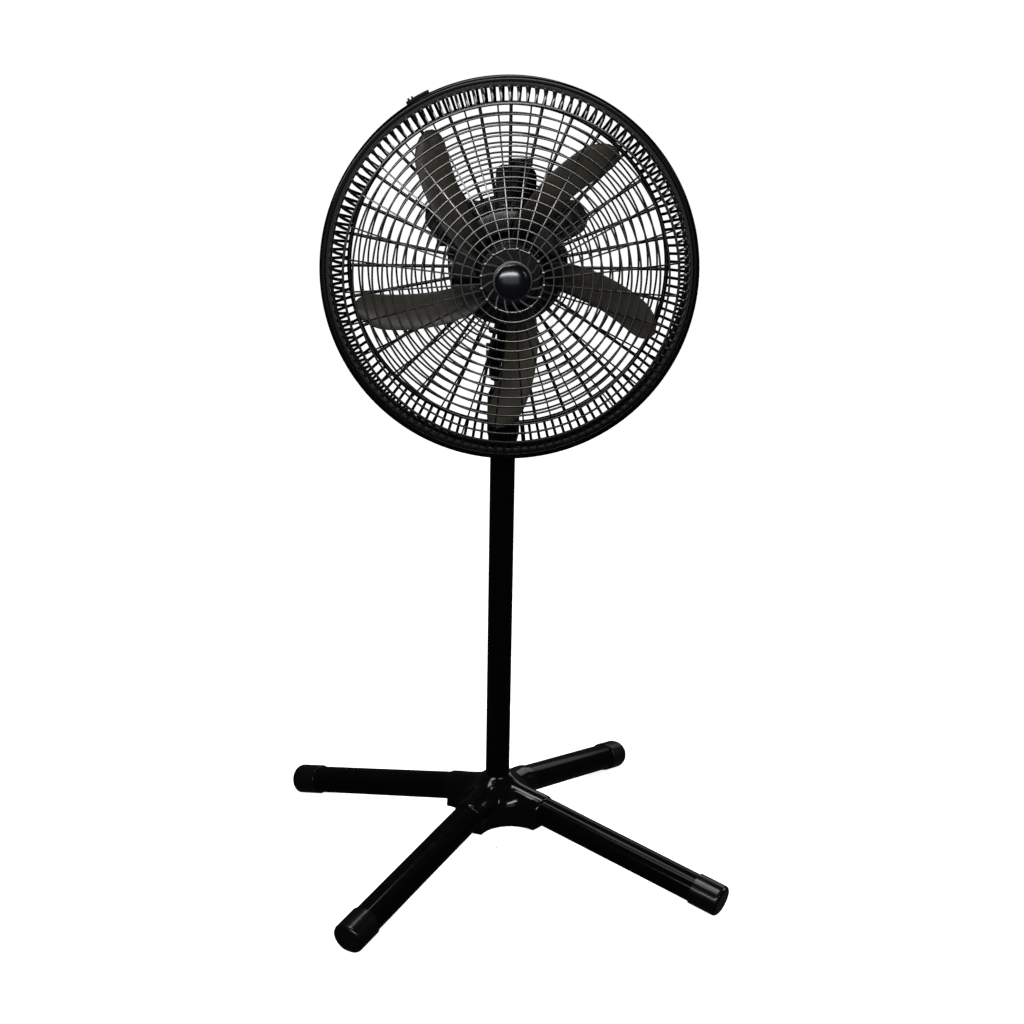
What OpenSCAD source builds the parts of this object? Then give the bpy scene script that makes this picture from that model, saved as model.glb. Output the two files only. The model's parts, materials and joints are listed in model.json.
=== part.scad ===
// Pedestal fan: cross base, telescopic pole, tilting and swinging head with a caged impeller.
// Origin on the floor under the pole. +Z up, the head faces -Y. All sizes in millimetres.

/* [Base] */
// Distance from the pole's axis to the end of a leg's cap, along the leg
leg_reach = 348; // [330:1:370]
// Turn of the first leg about the pole, in degrees
leg_turn = -34; // [-45:1:0]
// Width of a leg tube
leg_w = 39; // [36:0.5:42]
// Height of a leg tube
leg_h = 36.5; // [34:0.5:38]
// Length of the cap that covers a leg's end
cap_len = 40; // [30:1:50]

/* [Pole] */
// Outside diameter of the fixed pole
pole_d = 32; // [30:0.5:34]
// Outside diameter of the sliding inner tube
mast_d = 25; // [22:0.5:26]
// Height of the fixed pole's top end
pole_top = 610; // [600:1:620]
// Travel of the height adjustment
lift = 200; // [120:5:220]

/* [Head] */
// Height of the fan's axis with the pole fully down
head_h = 803; // [800:1:820]
// Height of the tilt hinge under the fan's axis
tilt_drop = 113; // [112:1:116]
// Radius of the motor casing
casing_r = 72; // [68:1:74]

/* [Guard] */
// Outside radius of the band round the guard
band_r = 220; // [218:1:226]
// Width of the band, front to back
band_w = 45; // [40:1:50]
// Radius of the innermost front ring
ring_first_r = 35.3; // [32:0.1:36]
// Distance from one ring to the next
ring_pitch = 11.1; // [10.5:0.1:11.2]
// Rings in the front guard
ring_count = 15; // [10:1:15]
// Straight spokes in the front guard
spoke_count = 32; // [16:4:36]
// Short ribs round the edge of each guard
edge_rib_count = 128; // [32:4:128]

/* [Impeller] */
// Blades
blade_count = 5; // [3:1:5]
// Radius over the blade tips
blade_tip_r = 186; // [150:1:188]
// Width of a blade seen from the front
blade_w = 42; // [30:1:46]

/* [Hidden] */

$fn = 64;
gap = 0.15;         // gap between pieces that are fitted and stay put
slip = 0.3;         // gap round a leg in its socket and cap
run = 0.05;         // radial clearance of a running fit

leg_axis_h = 90.5;  // height at which the four leg axes meet
leg_wall = 1.4;
leg_start = 24;
socket_wall = 1.9;
socket_end = 76;
cap_skin = 1.8;     // how far a cap stands out from its leg
cap_round = 5;      // rounding of a cap's end
cap_flat = 1.4;     // how deep the floor plane cuts into a cap
// Slope of the legs at which their caps stand on the floor
leg_droop = asin((leg_axis_h - leg_h / 2 - cap_skin + cap_flat) / (leg_reach - cap_round));
hub_floor = 52;     // height of the hub's lower edge
hub_r = 77;
hub_neck_top = 114;
hub_skin = 3;
hollow_r = 42;      // hollow sides of the hub between the legs, at its lower edge
hollow_top_r = 44;  // and at its neck
hollow_axis_r = 87.5;   // distance of a hollow's axis from the pole's
pole_floor = 62;    // height of the pole's lower end inside the hub
mast_r = mast_d / 2;
pole_r = pole_d / 2;
pole_wall = 1.5;
mast_bottom = 250;
mast_top = 676;
collar_bottom = 572;
collar_top = 640;
knob_axis_h = 620;
neck_screw_h = 662;

tilt_h = head_h - tilt_drop;
ear_r = 13;
tilt_bolt_r = 4;
pivot_r = 7;        // swing pivot under the motor
pivot_shoulder_r = 9;
clip_r = 9.8;       // spring clip on the swing pivot
pivot_seat = -62;   // height of the swing pivot's shoulder, from the fan's axis
link_post_x = 20;
crank_back = 36;    // crank axis behind the swing axis
crank_throw = 16;
link_level = -85;   // middle of the link arm, from the fan's axis

shaft_r = 4;
worm_z = -15;       // worm behind the swing axis
wheel_r = 12;
wheel_x = 17.8;
pinion_r = 5.4;
clutch_r = 2.5;

pod_x = 79;         // side pods of the motor casing
pod_y = 48;
pod_r = 21;
pod_front = -4;
pod_back = -40;
wall = 2.4;
hump_x = 11.5;      // middle of the gear cover, to the right of the fan's axis

band_front = 142;
band_back = band_front - band_w;
band_wall = 2.8;
front_lip = 4.2;    // how far the band's lips reach in from its wall
back_lip = 7.2;
front_edge_z = 180; // plane of the outermost front ring
front_rise = 28;    // how far the middle of the front guard stands ahead of that ring
rear_ring_r = 188.5;
rear_ring_z = 84;
rear_ring_count = 11;
rear_rib_count = 32;
rear_rib_t = 3.6;
bar = 2.4;
rib_t = 2;          // thickness of the spokes
edge_rib_t = 3.4;   // thickness of the short ribs at the guard's edge
badge_r = 20.5;
hub_cup_r = 38;
blade_root_r = 36;
blade_root_turn = 3;    // degrees from the middle of a blade's root back to its own start
blade_sweep = 25;       // degrees that a blade sweeps back from root to tip
blade_z = 130;      // middle of the blades ahead of the swing axis

// ---------- placing ----------

// Stands children on the leg's own axis: +Z outwards and down, X downwards.
module on_leg(i)
    rotate([0, 0, leg_turn + 90 * i]) translate([0, 0, leg_axis_h])
        rotate([0, 90 + leg_droop, 0]) children();

// Puts children in the head's frame: X right, Y up, Z forward along the fan's axis.
module on_head() translate([0, 0, head_h]) rotate([90, 0, 0]) children();

// Turns a shape drawn upright in the head's frame so that its own Z points up.
module upright(x, y, z) translate([x, y, z]) rotate([-90, 0, 0]) children();

module ring(r_in, r_out, z0, z1) translate([0, 0, z0]) difference() {
    cylinder(r = r_out, h = z1 - z0, $fn = 128);
    translate([0, 0, -1]) cylinder(r = r_in, h = z1 - z0 + 2, $fn = 128);
}

module disc(r, z0, z1) translate([0, 0, z0]) cylinder(r = r, h = z1 - z0);

// Oval with two flat sides, the leg's section grown by t.
module leg_section(t) {
    r = leg_h / 2 + t;
    side = (leg_w - leg_h) / 2;
    translate([0, -side]) circle(r = r);
    translate([0, side]) circle(r = r);
    square([2 * r, 2 * side], center = true);
}

module leg_solid(t, s0, s1) translate([0, 0, s0]) linear_extrude(s1 - s0) leg_section(t);

// ---------- base ----------

// Hub body: a disc with four hollow, leaning sides between the legs, under a roof that rises to the neck.
module hub_body(inset) difference() {
    rotate_extrude($fn = 128) polygon([[0, hub_floor - 2 * inset], [hub_r - inset, hub_floor - 2 * inset],
        [hub_r - inset, 75 - inset], [46 - inset, 88 - inset], [30 - inset, 102 - inset],
        [22 - inset, 110 - inset], [0, 110 - inset]]);
    for (i = [0:3]) rotate(leg_turn + 45 + 90 * i) translate([hollow_axis_r, 0, hub_floor - 10])
        cylinder(r1 = hollow_r + inset, r2 = hollow_top_r + inset, h = 76, $fn = 96);
}

module base_hub() color([0.03, 0.03, 0.035]) difference() {
    union() {
        difference() {
            hub_body(0);
            hub_body(hub_skin);
        }
        disc(pole_r + 2.6, hub_floor, hub_neck_top);
        for (i = [0:3]) on_leg(i) leg_solid(socket_wall, 12, socket_end);
    }
    for (i = [0:3]) on_leg(i) {
        leg_solid(slip, leg_start - slip, hub_r + 8);
        translate([0, 0, 50]) rotate([0, 90, 0]) cylinder(r = 2.2, h = 40);
    }
    disc(pole_r + gap, pole_floor, hub_neck_top + 1);
    disc(4.3, hub_floor - 5, pole_floor + 1);
}

module leg(i) color([0.03, 0.03, 0.035]) on_leg(i) difference() {
    leg_solid(0, leg_start, leg_reach - 5.4);
    leg_solid(-leg_wall, leg_start - 1, leg_reach);
    translate([0, 0, 50]) rotate([0, 90, 0]) cylinder(r = 1.5, h = 40);
}

// End cap: a sleeve with a closed, rounded end, cut flat where it stands on the floor.
module foot_cap(i) color([0.05, 0.05, 0.05]) {
    round_r = leg_w / 2 + cap_skin + 0.8;
    start = leg_reach - cap_len;
    intersection() {
        on_leg(i) difference() {
            intersection() {
                leg_solid(cap_skin, start, leg_reach);
                translate([0, 0, leg_reach]) rotate_extrude($fn = 96) difference() {
                    translate([0, -cap_len - 2]) square([round_r, cap_len + 2]);
                    difference() {
                        translate([round_r - cap_round, -cap_round]) square(cap_round + 1);
                        translate([round_r - cap_round, -cap_round]) circle(r = cap_round, $fn = 48);
                    }
                }
            }
            leg_solid(slip, start - 1, leg_reach - 5);
        }
        translate([-500, -500, 0]) cube([1000, 1000, 300]);
    }
}

module leg_screws() color([0.5, 0.5, 0.52]) for (i = [0:3]) on_leg(i) translate([0, 0, 50]) {
    rotate([0, 90, 0]) translate([0, 0, leg_h / 2 - 6]) cylinder(r = 1.4, h = 9);
    rotate([0, 90, 0]) translate([0, 0, leg_h / 2 + socket_wall + 0.1]) cylinder(r = 3.6, h = 2.4);
}

// ---------- pole ----------

module pole_plug() color([0.6, 0.6, 0.62]) difference() {
    disc(pole_r - pole_wall - gap, pole_floor + 1, pole_floor + 19);
    disc(3.4, pole_floor, pole_floor + 20);
}

module pole_bolt() color([0.6, 0.6, 0.62]) {
    disc(3.3, hub_floor - 6, pole_floor + 16);
    translate([0, 0, hub_floor - 8]) cylinder(r = 7, h = 5.5, $fn = 6);
}

module pole_washer() color([0.6, 0.6, 0.62]) ring(3.5, 12, hub_floor - 2.2, hub_floor - 0.2);

module outer_tube() color([0.02, 0.02, 0.02]) ring(pole_r - pole_wall, pole_r, pole_floor + 0.2, pole_top);

// Collar on the pole's top, with a boss for the clamp screw at the back.
module height_collar() color([0.03, 0.03, 0.035]) difference() {
    union() {
        rotate_extrude($fn = 96) polygon([[0, collar_bottom], [pole_r + 1.6, collar_bottom],
            [pole_r + 4.5, collar_bottom + 12], [pole_r + 4.5, collar_top - 8],
            [pole_r + 1, collar_top], [0, collar_top]]);
        translate([0, 16, knob_axis_h]) rotate([-90, 0, 0]) cylinder(r = 10, h = 14);
    }
    disc(pole_r + gap, collar_bottom - 1, pole_top + gap);
    disc(pole_r - 0.4, pole_top, collar_top - 4);
    disc(mast_r + 0.6, collar_top - 5, collar_top + 1);
    translate([0, 12, knob_axis_h]) rotate([-90, 0, 0]) cylinder(r = 3 + run, h = 20);
}

// Bush in the collar that the inner tube slides through, split for the clamp screw.
module collar_bush() color([0.75, 0.75, 0.72]) difference() {
    ring(mast_r + run, pole_r - 0.5, pole_top + gap + 0.1, collar_top - 4 - gap);
    translate([0, 0, knob_axis_h]) rotate([-90, 0, 0]) cylinder(r = 3.4, h = 40);
}

module collar_knob() color([0.04, 0.04, 0.04]) translate([0, 0, knob_axis_h]) rotate([-90, 0, 0]) {
    disc(3, mast_r + 0.1, 36);
    difference() {
        disc(15, 31, 46);
        for (i = [0:7]) rotate(45 * i) translate([18, 0, 30]) cylinder(r = 5, h = 17);
    }
}

module inner_tube() color([0.6, 0.61, 0.62]) difference() {
    ring(mast_r - 1.2, mast_r, mast_bottom, mast_top);
    translate([0, 5, neck_screw_h]) rotate([-90, 0, 0]) cylinder(r = 2.2, h = 10);
}

module guide_bush() color([0.75, 0.75, 0.72]) difference() {
    union() {
        disc(pole_r - pole_wall - run, mast_bottom - 4, mast_bottom - gap);
        disc(mast_r - 1.2 - gap, mast_bottom - 4, mast_bottom + 20);
    }
    disc(8, mast_bottom - 5, mast_bottom + 21);
}

// ---------- neck and tilt ----------

// Casting on the inner tube, with two ears for the tilt hinge.
module neck_socket() color([0.03, 0.03, 0.035]) difference() {
    union() {
        rotate_extrude() polygon([[0, 652], [17, 652], [19, 658], [19, tilt_h - 18], [0, tilt_h - 18]]);
        for (s = [-1, 1]) {
            translate([s * 14 - 4, 0, tilt_h]) rotate([0, 90, 0]) cylinder(r = ear_r, h = 8);
            translate([s * 14 - 4, -ear_r, tilt_h - 20]) cube([8, 2 * ear_r, 20]);
        }
        translate([-18, -ear_r, tilt_h - 26]) cube([36, 2 * ear_r, 8.5]);
    }
    disc(mast_r + gap, 650, mast_top + gap);
    translate([-30, 0, tilt_h]) rotate([0, 90, 0]) cylinder(r = tilt_bolt_r + run, h = 60);
    translate([0, 0, neck_screw_h]) rotate([-90, 0, 0]) cylinder(r = 2.2, h = 30);
}

module neck_screw() color([0.6, 0.6, 0.62]) translate([0, 0, neck_screw_h]) rotate([-90, 0, 0]) {
    disc(1.9, 11, 20);
    disc(4, 19.2, 22);
}

module tilt_bolt() color([0.6, 0.6, 0.62]) translate([0, 0, tilt_h]) rotate([0, 90, 0]) {
    disc(tilt_bolt_r, -19, 25);
    disc(8, -23, -18.2);
}

module tilt_nut() color([0.04, 0.04, 0.04]) translate([0, 0, tilt_h]) rotate([0, 90, 0]) difference() {
    disc(9, 18.2, 24);
    disc(tilt_bolt_r + gap, 18, 25);
}

// Bracket that tilts in the neck's ears and carries the swing pivot and the link's post.
module swivel_bracket() color([0.03, 0.03, 0.035]) difference() {
    union() {
        translate([-9.6, 0, tilt_h]) rotate([0, 90, 0]) cylinder(r = ear_r, h = 19.2);
        translate([-9.6, -10, tilt_h]) cube([19.2, 20, head_h - 91 - tilt_h]);
        disc(20, head_h - 91.1, head_h - 88);
        translate([link_post_x, 0, 0]) disc(6.5, head_h - 91.1, head_h - 88);
        translate([link_post_x, 0, 0]) disc(3, head_h - 89, head_h - 81);
        disc(pivot_shoulder_r, head_h - 89, head_h + pivot_seat);
        disc(pivot_r, head_h + pivot_seat - 1, head_h - 30);
    }
    translate([-30, 0, tilt_h]) rotate([0, 90, 0]) cylinder(r = tilt_bolt_r + run, h = 60);
    difference() {
        disc(pivot_r + 2, head_h - 35, head_h - 33);
        disc(pivot_r - 1.2, head_h - 36, head_h - 32);
    }
}

module pivot_clip() color([0.6, 0.6, 0.62]) difference() {
    ring(pivot_r - 1.1, clip_r, head_h - 34.9, head_h - 33.1);
    translate([-3, 0, head_h - 36]) cube([6, 20, 5]);
}

// Flat arm from the bracket's post to the crank's pin.
module link_arm() color([0.6, 0.6, 0.62]) {
    y1 = crank_back;
    x0 = link_post_x;
    x1 = crank_throw;
    turn = atan2(x0 - x1, y1);
    len = norm([x0 - x1, y1]);
    translate([x0, 0, head_h + link_level - 1.5]) rotate(turn) linear_extrude(3) difference() {
        union() {
            circle(r = 5.6);
            translate([0, len]) circle(r = 5.6);
            translate([-3.2, 0]) square([6.4, len]);
        }
        circle(r = 3 + run);
        translate([0, len]) circle(r = 3.6);
    }
}

// ---------- swing drive ----------

// Toothed disc: r over the teeth, tip their height.
module toothed(r, teeth, tip, z0, z1) translate([0, 0, z0]) linear_extrude(z1 - z0) {
    circle(r = r - tip);
    for (i = [0:teeth - 1]) rotate(360 / teeth * i)
        translate([r - tip - 0.8, -PI * r / teeth / 2]) square([tip + 0.8, PI * r / teeth * 0.96]);
}

module crank() color([0.6, 0.6, 0.6]) on_head() upright(0, 0, -crank_back) {
    toothed(21.6, 36, 2, -40, -34);
    disc(4, -77.5, -33);
    disc(19, -80, -77);
    translate([crank_throw, 0, 0]) disc(2, -86.5, -79);
}

module clutch_shaft() color([0.6, 0.6, 0.6]) on_head() upright(wheel_x, 0, worm_z) {
    rotate(10) toothed(pinion_r, 9, 1.4, -40, -34);
    disc(clutch_r, -45, 60);
}

module worm_wheel() color([0.85, 0.84, 0.78]) on_head() upright(wheel_x, 0, worm_z) difference() {
    toothed(wheel_r, 30, 1.3, -4, 4);
    disc(clutch_r + run, -5, 5);
}

module clutch_knob() color([0.05, 0.05, 0.05]) on_head() upright(wheel_x, 0, worm_z) {
    disc(2, 62, 113);
    difference() {
        disc(14, 111, 119);
        for (i = [0:11]) rotate(30 * i) translate([15, 0, 113]) cylinder(r = 1.8, h = 7);
    }
}

module gearbox_frame() color([0.7, 0.7, 0.7]) on_head() difference() {
    union() {
        translate([-27, -46, -62]) cube([64, 4, 48.5]);
        translate([-27, 10, -62]) cube([64, 4, 60]);
        for (x = [-24, 34], z = [-59, -17]) upright(x, 0, z) disc(2.8, -43, 11);
    }
    upright(0, 0, -crank_back) disc(4 + run, -50, -38);
    upright(wheel_x, 0, worm_z) disc(clutch_r + run, -50, 20);
}

// ---------- motor ----------

// Rear end shield with the lug that swings on the bracket's pivot.
module motor_frame() color([0.62, 0.63, 0.64]) on_head() difference() {
    union() {
        disc(52, 5, 10);
        disc(9, 0, 9);
        upright(0, 0, 0) disc(10.2, pivot_seat + 0.1, -35.3);
        translate([-9, -60, 2]) cube([18, 24, 8]);
    }
    disc(6.5, -1, 11);
    upright(0, 0, 0) disc(pivot_r + run, pivot_seat - 1, -30);
    upright(0, 0, 0) disc(clip_r + 0.4, -35.3, -30);
    for (i = [0:3]) rotate(45 + 90 * i) translate([48, 0, 0]) cylinder(r = 2.2, h = 20);
}

module front_shield() color([0.62, 0.63, 0.64]) on_head() difference() {
    union() {
        disc(52, 53, 58);
        disc(10, 50, 62);
    }
    disc(6.5, 49, 63);
    for (i = [0:3]) rotate(45 + 90 * i) translate([48, 0, 40]) cylinder(r = 2.2, h = 20);
}

module stator_core() color([0.45, 0.45, 0.47]) on_head() difference() {
    disc(44, 16, 46);
    disc(24.6, 15, 47);
    for (i = [0:15]) rotate(22.5 * i) translate([34, 0, 15]) cylinder(r = 3.4, h = 32);
}

module windings() color([0.72, 0.38, 0.18]) on_head() {
    ring(27, 41, 10.5, 15.8);
    ring(27, 41, 46.2, 51.5);
    for (i = [0:15]) rotate(22.5 * i) translate([34, 0, 15]) cylinder(r = 3.1, h = 32);
}

module motor_screws() color([0.6, 0.6, 0.62]) on_head() for (i = [0:3]) rotate(45 + 90 * i)
    translate([48, 0, 0]) {
        disc(2, 2, 60);
        translate([0, 0, 58.2]) cylinder(r = 4, h = 3);
    }

module bearing(z0, z1) color([0.72, 0.56, 0.32]) on_head() ring(shaft_r + run, 6.5 - gap, z0, z1);

module front_bearing() bearing(50, 62);

module rear_bearing() bearing(0, 10);

module motor_shaft() color([0.7, 0.7, 0.72]) on_head() difference() {
    union() {
        disc(shaft_r, -24, 165);
        for (z = [-22:2.6:-9]) disc(5, z, z + 1.3);
    }
    translate([0, 20, 102.5]) rotate([90, 0, 0]) cylinder(r = 1.5 + gap, h = 40);
}

module rotor() color([0.5, 0.5, 0.52]) on_head() ring(shaft_r + gap, 24, 15, 47);

module drive_pin() color([0.7, 0.7, 0.72]) on_head() translate([0, 9, 102.5]) rotate([90, 0, 0])
    cylinder(r = 1.5, h = 18);

// ---------- casing ----------

// Outline of the side pods and the webs that join them to the drum, inset by t.
module pods_outline(t) for (s = [-1, 1]) {
    translate([s * pod_x, pod_y]) circle(r = pod_r - t);
    polygon([[s * 30, 66 - t], [s * (pod_x + 5), pod_y + pod_r - t], [s * (pod_x + 8), pod_y - pod_r + 1.5 + t],
        [s * 60, 14 + t], [s * 30, 14 + t]]);
}

// Outline of the gear cover on top, inset by t.
module hump_outline(t) translate([hump_x, 0]) {
    translate([t - 24, 40]) square([48 - 2 * t, 60]);
    for (s = [-1, 1]) translate([s * 14, 100]) circle(r = 10 - t);
    translate([-14, 90]) square([28, 20 - t]);
}

module casing_solid(t) {
    rotate_extrude($fn = 128) polygon([[0, -84 + t], [52 - t, -84 + t], [66 - t, -76 + t / 2],
        [casing_r - t, -62], [casing_r - t, 60], [0, 60]]);
    translate([0, 0, pod_back + t]) linear_extrude(pod_front - pod_back - 2 * t) pods_outline(t);
    translate([0, 0, -50 + t]) linear_extrude(60 - 2 * t) hump_outline(t);
}

module rear_casing() color([0.02, 0.02, 0.02]) on_head() difference() {
    casing_solid(0);
    casing_solid(wall);
    disc(casing_r - wall, 50, 61);
    upright(0, 0, 0) disc(17, -90, -50);
    upright(0, 0, -crank_back) disc(7, -90, -50);
    upright(wheel_x, 0, worm_z) disc(2.6, 95, 120);
    translate([pod_x, pod_y, pod_back - 1]) cylinder(r = 4, h = 10);
    upright(-pod_x, 0, -22) disc(4 + gap, 20, 34);
    for (i = [-6:6]) translate([-40, 6 * i - 1.2, -90]) cube([80, 2.4, 12]);
}

// Front of the casing: seat, threaded spigot for the guard nut and bore for the shaft.
module front_casing() color([0.04, 0.04, 0.04]) on_head() difference() {
    rotate_extrude($fn = 96) polygon([[0, 62.5], [53, 62.5], [53, 60.2], [casing_r, 60.2], [casing_r, 66],
        [70.6, 69], [61, 69], [60, 70], [60, 79.8], [22, 79.8], [22, 94], [0, 94]]);
    rotate_extrude($fn = 96) polygon([[0, 62], [55, 62], [55, 76], [18, 76], [18, 90], [0, 90]]);
    disc(6, 60, 95);
    for (i = [0:3]) rotate(90 * i) translate([66, 0, 55]) cylinder(r = 2.2, h = 30);
}

module casing_screws() color([0.6, 0.6, 0.62]) on_head() for (i = [0:3]) rotate(90 * i)
    translate([66, 0, 0]) {
        disc(1.9, 52, 70);
        disc(4, 69.2, 71.6);
    }

module speed_switch() color([0.8, 0.8, 0.78]) on_head() translate([pod_x, pod_y, 0]) difference() {
    disc(14, -34, -14);
    disc(3 + run, -35, -24);
}

// Speed knob at the back of the right pod, with a grip bar across it.
module speed_knob() color([0.05, 0.05, 0.05]) on_head() translate([pod_x, pod_y, 0]) {
    disc(3, -42, -25);
    disc(17, -46, pod_back - 0.6);
    translate([-4, -15, -58]) cube([8, 30, 13]);
}

module capacitor() color([0.75, 0.75, 0.7]) on_head() translate([-pod_x, pod_y + 4, 0]) disc(12, -36, -8);

// Strain relief under the left pod; its flange follows the casing.
module cord_gland() color([0.05, 0.05, 0.05]) on_head() difference() {
    union() {
        upright(-pod_x, 0, -22) disc(4, 14, 32);
        difference() {
            upright(-pod_x, 0, -22) disc(6.5, 12, 27);
            translate([0, 0, pod_back]) linear_extrude(pod_front - pod_back) pods_outline(-gap);
        }
    }
    upright(-pod_x, 0, -22) disc(2.6, 10, 34);
}

// ---------- guard ----------

function dome(r) = front_edge_z + front_rise * (1 - pow(r / (ring_first_r + ring_pitch * 14), 2));
last_r = ring_first_r + ring_pitch * (ring_count - 1);

// Bar that follows the front guard's dome from radius a to radius b.
module dome_bar(a, b) rotate([90, 0, 0]) translate([0, 0, -rib_t / 2]) linear_extrude(rib_t)
    polygon(concat([for (k = [0:6]) let (r = a + (b - a) * k / 6) [r, dome(r) - 1.5]],
        [for (k = [6:-1:0]) let (r = a + (b - a) * k / 6) [r, dome(r) + 1.2]]));

// Short rib at the edge of a guard, from the outermost ring back to the flange.
module edge_rib(r0, z0, r1, z1, belly)
    rotate([90, 0, 0]) translate([0, 0, -edge_rib_t / 2]) linear_extrude(edge_rib_t)
    polygon([[r0 - 0.5, z0 - 1.3], [r0 - 0.5, z0 + 1.3], [(r0 + r1) / 2 + belly + 1.2, (z0 + z1) / 2 + 1.2],
        [r1 + 1.5, z1], [r1 - 0.5, z1], [(r0 + r1) / 2 + belly - 1.2, (z0 + z1) / 2 - 1.2]]);

module front_guard() color([0.03, 0.03, 0.035]) on_head() difference() {
    union() {
        for (k = [0:ring_count - 1]) let (r = ring_first_r + ring_pitch * k)
            ring(r - bar / 2, r + bar / 2, dome(r) - 1.5, dome(r) + 1.5);
        for (i = [0:spoke_count - 1]) rotate(360 / spoke_count * (i + 0.5)) dome_bar(ring_first_r, last_r);
        for (i = [0:15]) rotate(22.5 * i) translate([badge_r + 1.5, 0, 0]) rotate(30)
            translate([0, -rib_t / 2, dome(30) - 1.5]) cube([16.2, rib_t, 2.7]);
        for (i = [0:edge_rib_count - 1]) rotate(360 / edge_rib_count * (i + 0.5))
            edge_rib(last_r, front_edge_z, 209, 136, 4);
        ring(207.5, 217, 130, 137);
        ring(badge_r - 3, badge_r + 2.2, dome(24) - 2.5, dome(24) + 1.5);
        disc(badge_r - 2, dome(24) - 2.5, dome(24) - 0.5);
    }
    for (i = [0:1]) rotate(180 * i) translate([14, 0, dome(24) - 4]) cylinder(r = 2 + gap, h = 8);
}

// Domed cap in the middle of the front guard, with two pegs.
module badge() color([0.02, 0.02, 0.04]) on_head() {
    rotate_extrude($fn = 96) polygon([[0, dome(24) - 0.4], [badge_r - 3.3, dome(24) - 0.4],
        [badge_r - 3.3, dome(24) + 1.7], [badge_r, dome(24) + 1.7], [badge_r - 1, dome(24) + 4],
        [badge_r - 7, dome(24) + 7], [badge_r - 14, dome(24) + 8.6], [0, dome(24) + 9.2]]);
    for (i = [0:1]) rotate(180 * i) translate([14, 0, dome(24) - 4]) cylinder(r = 2, h = 5);
}

// Short straight rib from the thick ring forward to the flange.
module rear_edge_rib() rotate([90, 0, 0]) translate([0, 0, -edge_rib_t / 2]) linear_extrude(edge_rib_t)
    polygon([[rear_ring_r + 0.4, rear_ring_z - 1.4], [rear_ring_r + 0.4, rear_ring_z + 1.2],
        [209.2, 103.6], [209.2, 100.6]]);

module rear_guard() color([0.03, 0.03, 0.035]) on_head() {
    ring(rear_ring_r - 2.6, rear_ring_r + 2.6, rear_ring_z - 2.6, rear_ring_z + 2.6);
    for (k = [1:rear_ring_count - 1]) let (r = rear_ring_r - ring_pitch * k)
        ring(r - bar / 2, r + bar / 2, rear_ring_z - 3.5, rear_ring_z - 0.5);
    for (i = [0:rear_rib_count - 1]) rotate(360 / rear_rib_count * i)
        translate([60, -rear_rib_t / 2, rear_ring_z - 3.2]) cube([rear_ring_r - 61, rear_rib_t, 2.4]);
    for (i = [0:edge_rib_count - 1]) rotate(360 / edge_rib_count * i)
        rear_edge_rib();
    ring(207.5, 217, 99.8, 107);
    ring(22.4, 66, rear_ring_z - 4, rear_ring_z - 0.4);
}

module guard_nut() color([0.06, 0.06, 0.06]) on_head() difference() {
    union() {
        disc(30, 83.8, 92);
        for (i = [0:5]) rotate(60 * i) translate([30, 0, 83.8]) cylinder(r = 4, h = 8.2);
    }
    disc(22 + gap, 83, 93);
}

// Band that clamps the two guards together, open inwards, with a gap for its clip.
module guard_band() color([0.02, 0.02, 0.02]) on_head() difference() {
    union() {
        ring(band_r - band_wall, band_r, band_back, band_front);
        ring(band_r - band_wall - front_lip, band_r - 1, band_front - 2.5, band_front);
        ring(band_r - band_wall - back_lip, band_r - 1, band_back, band_back + 2.5);
    }
    rotate(119) translate([band_r - 12, -2, band_back - 1]) cube([16, 4, band_w + 2]);
}

// Clip that bridges the band's gap.
module band_clip() color([0.05, 0.05, 0.05]) on_head() rotate(119) difference() {
    translate([0, 0, band_back + 4]) difference() {
        intersection() {
            cylinder(r = band_r + 3.5, h = band_w - 8, $fn = 128);
            translate([band_r - 20, -14, 0]) cube([30, 28, band_w]);
        }
        translate([0, 0, -1]) cylinder(r = band_r + 0.2, h = band_w, $fn = 128);
    }
    translate([band_r - 5, 8, band_back + band_w / 2]) rotate([0, 90, 0]) cylinder(r = 2 + gap, h = 12);
}

module band_screw() color([0.6, 0.6, 0.62]) on_head() rotate(119)
    translate([band_r, 8, band_back + band_w / 2]) rotate([0, 90, 0]) {
        disc(2, 0.2, 4);
        disc(3.6, 3.6, 5.6);
    }

// ---------- impeller ----------

rows = 10;          // steps along a blade
cols = 6;           // steps across it

function blade_half(s) = let (full = blade_w / 2 * (0.72 + 0.28 * sin(120 * s)))
    s < 0.82 ? full : full * sqrt(max(0.02, 1 - pow((s - 0.82) / 0.185, 2)));

// Point of a blade: s runs from root to tip, and t across it, from the leading edge at -1 to the trailing
// edge at 1, for a fan that turns clockwise seen from the front.
function blade_point(s, t, lift) = let (
    r = blade_root_r + (blade_tip_r - blade_root_r) * s,
    a = blade_root_turn - blade_sweep * pow(s, 0.8) + t * blade_half(s) / max(r, 60) * 180 / PI,
    z = blade_z + t * blade_half(s) * (0.62 - 0.34 * s) + 3 * (1 - t * t) + lift
) [r * cos(a), r * sin(a), z];

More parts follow.
